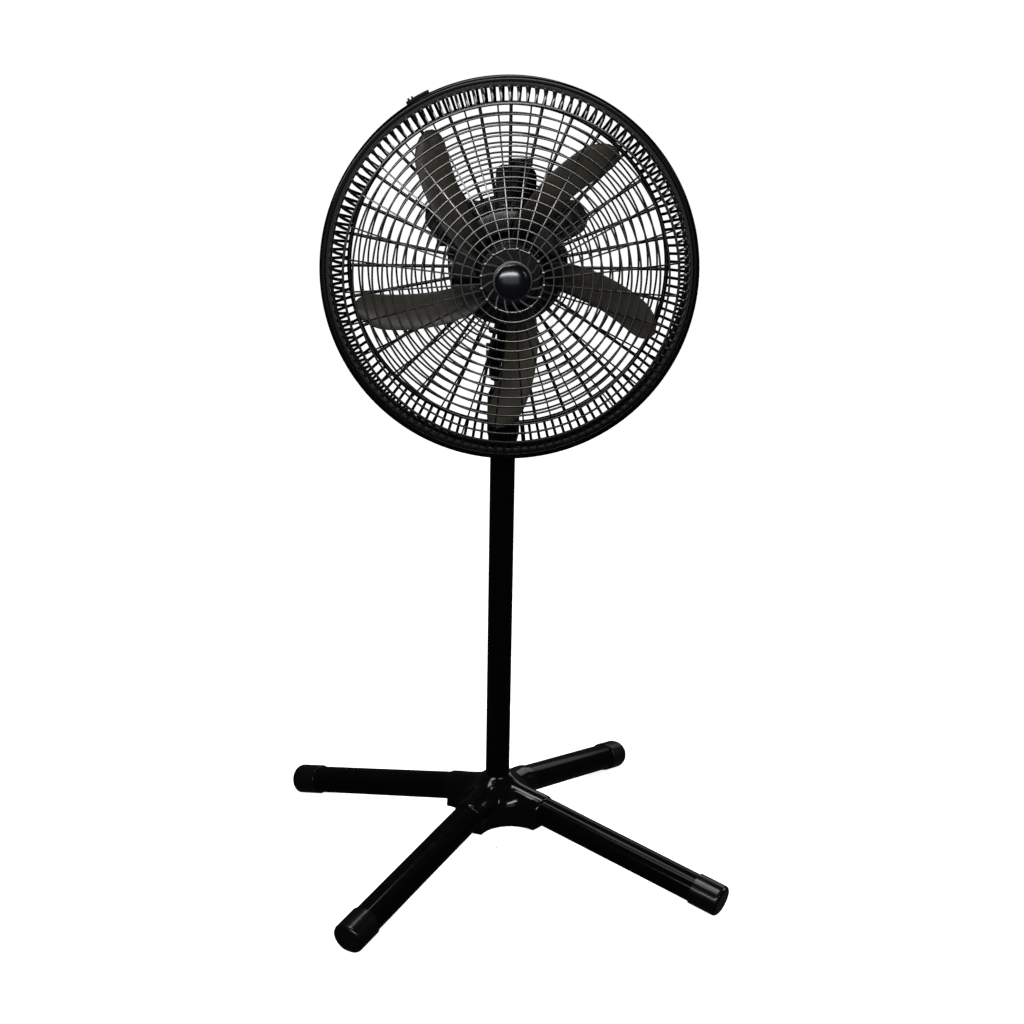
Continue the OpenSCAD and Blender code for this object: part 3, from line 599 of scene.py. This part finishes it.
def melt(piece, cell):
    """Joins a piece's overlapping shells into one skin of cells of the given size."""
    remesh = piece.modifiers.new("join", "REMESH")
    remesh.mode, remesh.voxel_size = "VOXEL", cell
    bpy.context.view_layer.update()
    shown = piece.evaluated_get(bpy.context.evaluated_depsgraph_get())
    mesh = bpy.data.meshes.new_from_object(shown)
    finish = piece.data.materials[0]
    piece.modifiers.clear()
    piece.data = mesh
    mesh.materials.clear()
    mesh.materials.append(finish)
    shade_smooth(mesh)


def soften(mesh, rounds, weight):
    """Moves each point towards the mean of its neighbours by half its weight, again and again."""
    points = np.empty(len(mesh.vertices) * 3, np.float32)
    mesh.vertices.foreach_get("co", points)
    points = points.reshape(-1, 3).astype(float)
    ends = np.empty(len(mesh.edges) * 2, np.int32)
    mesh.edges.foreach_get("vertices", ends)
    first, second = ends.reshape(-1, 2).T
    near, far = np.concatenate([first, second]), np.concatenate([second, first])
    count = np.bincount(near, minlength=len(points))[:, None]
    pull = 0.5 * weight(points)[:, None]
    for _ in range(rounds):
        mean = np.stack([np.bincount(near, points[far, k], len(points)) for k in range(3)], -1) / count
        points += pull * (mean - points)
    mesh.vertices.foreach_set("co", points.astype(np.float32).ravel())
    mesh.update()


def pole():
    """Fixed pole: the outline of a tube's wall in (radius, height), with its outer edge taken in by
    0.4 mm at both ends, turned about the pole's axis."""
    wall = 1.5 * MM
    outer = [(POLE_R, z) for z in np.linspace(pole_low[2] + 1 * MM, POLE_TOP - 1 * MM, 40)]
    profile = [(POLE_R - wall, pole_low[2]), (POLE_R - 0.4 * MM, pole_low[2])] + outer
    profile += [(POLE_R - 0.4 * MM, POLE_TOP), (POLE_R - wall, POLE_TOP)]
    tube = Surface().add(lathe(profile, 96), loop_u=True, loop_v=True)
    tube.piece("pole_tube", "stand", ["outer_tube"], "black_paint")


# ---------- guard ----------

def dome(r):
    """Front guard's height at radius r: its edge plane plus rise (1 - (r / last ring's radius)^2)."""
    return DOME_EDGE + DOME_RISE * (1 - (r / RING_LAST) ** 2)


def flange(back, front):
    """Flat ring round a guard's rim, which the band holds: a rectangle in (radius, height) with
    rounded corners, turned about the fan's axis."""
    corners = [[FLANGE_IN, back], [FLANGE_OUT, back], [FLANGE_OUT, front], [FLANGE_IN, front]]
    return lathe(rounded(corners, 0.8 * MM, 3), 216)


def add_swirl(guard):
    """Adds the curved ribs between the badge and the first ring. At t from 0 to 1 a rib's middle line is
    at (start + L t cos b, L t sin b), with b = lean (0.7 + 0.5 t) and L its length. A small flat pad,
    an outline in (radius, height) turned about its own axis, sits on its end."""
    t = np.linspace(0, 1, 9)
    bend = SWIRL_LEAN * (0.7 + 0.5 * t)
    curl = np.stack([BADGE_R + 1.5 * MM + SWIRL_LEN * t * np.cos(bend), SWIRL_LEN * t * np.sin(bend),
                     dome(30 * MM) - 0.3 * MM + 0.6 * MM * t], -1)
    ahead = np.gradient(curl, axis=0)
    ahead /= np.linalg.norm(ahead, axis=1, keepdims=True)
    up = np.broadcast_to([0.0, 0.0, 1.0], curl.shape)
    swirl = sweep(curl, np.cross(up, ahead), up, loop_section(BAR, RING_DEPTH, 8, 0.4))
    guard.add_many(spun(swirl, SWIRL_RIBS), loop_v=True, cap_u=True)
    pad = np.array([[0.05, -2.0], [2.3, -2.0], [2.3, 1.1], [2.0, 1.5], [1.4, 1.66], [0.7, 1.74],
                    [0.05, 1.76]]) * MM
    pad = lathe(pad, 16) + curl[-1] + [0.0, 0.0, 0.6 * MM]
    guard.add_many(spun(pad, SWIRL_RIBS), loop_u=True, loop_v=True)


def front_guard():
    """Front guard: rings at equal steps of radius and spokes between them, all at the dome's height, the
    swirl round the badge, edge ribs on a quadratic curve from the last ring, the flange, and the
    badge's seat, an outline in (radius, height) turned about the fan's axis."""
    guard = Surface()
    for k in range(RING_COUNT):
        r = RING_FIRST + RING_PITCH * k
        wide = BAR if k < RING_COUNT - 1 else 1.3 * BAR
        guard.add(ring_bar(r, dome(r), wide, RING_DEPTH, 216), loop_u=True, loop_v=True)
    r = np.linspace(RING_FIRST, RING_LAST, 22)
    spoke = radial_bar(r, dome(r) - 0.2 * MM, SPOKE, BAR_DEPTH)
    guard.add_many(spun(spoke, SPOKES, 0.5), loop_v=True, cap_u=True)
    add_swirl(guard)
    t = np.linspace(0, 1, 9)
    r = curve(RING_LAST, 206 * MM, 208.5 * MM, t)
    z = curve(DOME_EDGE, 172 * MM, 134 * MM, t)
    guard.add_many(spun(radial_bar(r, z, EDGE_RIB, BAR_DEPTH), EDGE_RIBS, 0.5), loop_v=True, cap_u=True)
    guard.add(flange(130 * MM, 137 * MM), loop_u=True, loop_v=True)
    seat = dome(BADGE_SEAT_R)
    boss = rounded([[0.1 * MM, seat - 2.5 * MM], [BADGE_R + 2.2 * MM, seat - 2.5 * MM],
                    [BADGE_R + 2.2 * MM, seat + 1.5 * MM], [BADGE_R - 2.8 * MM, seat + 1.5 * MM],
                    [BADGE_R - 2.8 * MM, seat - 0.5 * MM], [0.1 * MM, seat - 0.5 * MM]], 0.6 * MM, 3)
    guard.add(lathe(boss, 96), loop_u=True, loop_v=True)
    guard.piece("front_grille", "head", ["front_guard"], "guard_plastic", from_head)


def rear_guard():
    """Rear guard: a thick outer ring, rings at equal steps of radius and straight ribs in one plane, edge
    ribs that climb 18 mm while they run 20 mm outwards, the flange, and a flat ring in the middle."""
    guard = Surface()
    guard.add(ring_bar(REAR_RING_R, REAR_RING_Z, REAR_RING_SIZE, REAR_RING_SIZE, 216, 14),
              loop_u=True, loop_v=True)
    for k in range(1, REAR_RINGS):
        guard.add(ring_bar(REAR_RING_R - RING_PITCH * k, REAR_NET_Z, BAR, RING_DEPTH, 192),
                  loop_u=True, loop_v=True)
    r = np.linspace(REAR_RIB_ROOT, REAR_RING_R - 1.5 * MM, 16)
    guard.add_many(spun(radial_bar(r, REAR_NET_Z + 0 * r, REAR_RIB, REAR_RIB_DEPTH), REAR_RIBS),
                   loop_v=True, cap_u=True)
    t = np.linspace(0, 1, 6)
    r = REAR_RING_R + 0.5 * MM + 20 * MM * t
    z = REAR_RING_Z + 18 * MM * t
    guard.add_many(spun(radial_bar(r, z, EDGE_RIB, BAR_DEPTH), EDGE_RIBS), loop_v=True, cap_u=True)
    guard.add(flange(99.8 * MM, 107 * MM), loop_u=True, loop_v=True)
    plate = rounded(np.array([[22.4, 80], [66, 80], [66, 83.6], [22.4, 83.6]]) * MM, 0.8 * MM, 3)
    guard.add(lathe(plate, 128), loop_u=True, loop_v=True)
    guard.piece("rear_grille", "head", ["rear_guard"], "guard_plastic", from_head)


def guard_band():
    """Band: a C section, open inwards, with rounded shoulders, turned about the fan's axis."""
    wall, front_lip, back_lip, sheet = 2.8 * MM, 7 * MM, 10 * MM, 2.5 * MM
    front, back = BAND_FRONT, BAND_BACK
    section = [[BAND_R - back_lip, back], [BAND_R, back], [BAND_R, front], [BAND_R - front_lip, front],
               [BAND_R - front_lip, front - sheet], [BAND_R - wall, front - sheet],
               [BAND_R - wall, back + sheet], [BAND_R - back_lip, back + sheet]]
    radii = np.array([0.9, 3.2, 3.2, 0.9, 0.9, 1.2, 1.2, 0.9]) * MM
    Surface().add(lathe(rounded(section, radii, 6), 256), loop_u=True, loop_v=True).piece(
        "guard_hoop", "head", ["guard_band"], "band_plastic", from_head)


def badge():
    """Bare domed cap: a flattened dome (R cos a, h sin a) in (radius, height) on a short rolled rim,
    turned about the fan's axis."""
    seat = dome(BADGE_SEAT_R)
    crown = [(0.02 * MM + (BADGE_R - 1.2 * MM) * math.cos(a), seat + 3.0 * MM + 6.2 * MM * math.sin(a))
             for a in np.linspace(0, math.pi / 2, 20)]
    profile = [(0.02 * MM, seat - 0.4 * MM), (BADGE_R - 3.3 * MM, seat - 0.4 * MM),
               (BADGE_R - 3.3 * MM, seat + 1.7 * MM), (BADGE_R - 0.4 * MM, seat + 1.7 * MM),
               (BADGE_R, seat + 2.1 * MM), (BADGE_R, seat + 2.7 * MM)] + crown
    Surface().add(lathe(profile, 128), loop_u=True, loop_v=True).piece(
        "centre_cap", "head", ["badge"], "badge_plastic", from_head)


# ---------- impeller ----------

BLADES = 5
BLADE_ROOT = 36 * MM
BLADE_TIP = 186 * MM
BLADE_ROOT_TURN = math.radians(3)
BLADE_SWEEP = math.radians(25)
BLADE_W = 42 * MM
BLADE_Z = 130 * MM


def impeller():
    """Hub cup and sleeve, each an outline turned about the fan's axis, and five swept blades. Along a
    blade (s from root to tip) the middle line turns back by sweep * s^0.8; across it (t from -1 to 1)
    the surface climbs and bows by 3 (1 - t^2) mm."""
    fan = Surface()
    cup = rounded(np.array([[0.05, 146], [35.6, 146], [35.6, 110], [38, 110], [38, 148], [35, 150.5],
                            [0.05, 150.5]]) * MM, np.array([0, 1, 0.8, 0.8, 2, 2, 0]) * MM, 4)
    fan.add(lathe(cup, 128), loop_u=True, loop_v=True)
    sleeve = rounded(np.array([[4.2, 101], [9, 101], [9, 147], [4.2, 147]]) * MM, 0.5 * MM, 2)
    fan.add(lathe(sleeve, 48), loop_u=True, loop_v=True)
    s = np.linspace(0, 1, 60)[:, None]
    a = np.linspace(0, TAU, 40, endpoint=False)[None]
    t = np.sign(np.cos(a)) * np.abs(np.cos(a)) ** 0.9
    thick = np.sign(np.sin(a)) * np.abs(np.sin(a)) ** 0.5 * 1.2 * MM
    full = BLADE_W / 2 * (0.72 + 0.28 * np.sin(np.radians(120 * s)))
    tip = np.sqrt(np.maximum(0.0004, 1 - np.maximum(0, (s - 0.82) / 0.18) ** 2))
    half = full * tip
    r = BLADE_ROOT + (BLADE_TIP - BLADE_ROOT) * s
    turn = BLADE_ROOT_TURN - BLADE_SWEEP * s ** 0.8 + t * half / np.maximum(r, 60 * MM)
    z = BLADE_Z + t * half * (0.62 - 0.34 * s) + 3 * MM * (1 - t * t) + thick * tip
    blade = np.stack([r * np.cos(turn), r * np.sin(turn), z], -1)
    fan.add_many(spun(blade, BLADES), loop_v=True, cap_u=True)
    fan.piece("fan_blades", "fan", ["impeller"], "blade_plastic", from_head, 50)


# ---------- room ----------

FLOOR_GLOW = 0.86
FLOOR_R = 3.2
WALL_BEND = 1.4
WALL_TOP = 7.0
WORLD_GLOW = 0.03


def backdrop():
    """Pale round floor that curves up into a wall all round: r = R + b sin a, z = b (1 - cos a).
    It is left out of reflections and bounced light, so the lamps alone shape the black parts."""
    a = np.linspace(0, math.pi / 2, 24)
    run = np.concatenate([[0.001], FLOOR_R + WALL_BEND * np.sin(a), [FLOOR_R + WALL_BEND]])
    rise = np.concatenate([[0.0], WALL_BEND * (1 - np.cos(a)), [WALL_TOP]])
    sheet = Surface().add(lathe(np.stack([run, rise], -1), 128), loop_u=True)
    points = np.concatenate(sheet.points)
    mesh = bpy.data.meshes.new("studio_floor")
    mesh.from_pydata(points.tolist(), [], np.concatenate(sheet.quads).tolist())
    shade_smooth(mesh)
    floor = bpy.data.objects.new("studio_floor", mesh)
    bpy.context.scene.collection.objects.link(floor)
    pale = Finish("pale_floor", Roughness=0.85, Specular_IOR_Level=0.05, Emission_Strength=FLOOR_GLOW)
    pale.shader.inputs["Base Color"].default_value = rgba(0.86, 0.86, 0.86)
    pale.shader.inputs["Emission Color"].default_value = rgba(1.0, 1.0, 1.0)
    mesh.materials.append(pale.material)
    floor.visible_glossy = False
    floor.visible_diffuse = False


def lamp(name, place, aim, size, power):
    """Rectangular lamp at a place, turned to face a point."""
    light = bpy.data.lights.new(name, "AREA")
    light.shape, light.size, light.size_y, light.energy = "RECTANGLE", size[0], size[1], power
    holder = bpy.data.objects.new(name, light)
    holder.location = place
    holder.rotation_euler = (Vector(aim) - Vector(place)).to_track_quat("-Z", "Y").to_euler()
    holder.visible_camera = False
    bpy.context.scene.collection.objects.link(holder)


def lights():
    """Soft box overhead, weak fill and a strip in front, and small lamps at the sides and the back."""
    lamp("overhead_softbox", (-0.2, 0.2, 2.8), (0, 0, 0), (1.8, 1.2), 55)
    lamp("front_panel", (-0.2, -2.6, 0.95), (0, 0, 0.8), (1.8, 1.2), 5)
    lamp("front_strip", (-0.5, -2.2, 1.3), (0, 0, 0.6), (2.2, 0.3), 34)
    lamp("right_strip", (1.6, -1.6, 1.5), (0, 0, 0.5), (0.08, 0.6), 2.5)
    lamp("rear_panel", (1.2, 2.4, 1.3), (0, 0, 0.7), (1.6, 1.0), 5)
    lamp("side_panel", (2.5, 0.9, 1.3), (0, 0, 0.6), (0.5, 1.4), 10)
    world = bpy.data.worlds.new("studio")
    world.use_nodes = True
    world.node_tree.nodes["Background"].inputs[0].default_value = rgba(1.0, 1.0, 1.0)
    world.node_tree.nodes["Background"].inputs[1].default_value = WORLD_GLOW
    bpy.context.scene.world = world
    bpy.context.scene.view_settings.view_transform = "Standard"


CAMERA_AZIMUTH = math.radians(-2.2)
CAMERA_DISTANCE = 2.107
CAMERA_H = 1.057
CAMERA_PITCH = math.radians(17.38)
CAMERA_YAW = math.radians(0.4)
CAMERA_ROLL = math.radians(-1.06)
CAMERA_FOCUS = 1.650
CAMERA_RISE = 0.0586
SENSOR = 36.0


def camera():
    """Camera in front of the fan, turned by yaw, pitch and roll, with its picture moved up a little."""
    lens = bpy.data.cameras.new("view")
    lens.sensor_width = SENSOR
    lens.lens = SENSOR * CAMERA_FOCUS
    lens.shift_y = CAMERA_RISE
    holder = bpy.data.objects.new("view", lens)
    place = Vector((CAMERA_DISTANCE * math.sin(CAMERA_AZIMUTH), -CAMERA_DISTANCE * math.cos(CAMERA_AZIMUTH),
                    CAMERA_H))
    yaw = CAMERA_YAW - CAMERA_AZIMUTH
    ahead = Vector((math.sin(yaw) * math.cos(CAMERA_PITCH), math.cos(yaw) * math.cos(CAMERA_PITCH),
                    -math.sin(CAMERA_PITCH)))
    right = Vector((math.cos(yaw), -math.sin(yaw), 0))
    up = right.cross(ahead)
    c, s = math.cos(CAMERA_ROLL), math.sin(CAMERA_ROLL)
    right, up = right * c - up * s, right * s + up * c
    turn = Matrix((right, up, -ahead)).transposed().to_4x4()
    holder.matrix_world = Matrix.Translation(place) @ turn
    bpy.context.scene.collection.objects.link(holder)
    bpy.context.scene.camera = holder


camera()
backdrop()
lights()
legs()
hub()
pole()
front_guard()
rear_guard()
guard_band()
badge()
impeller()
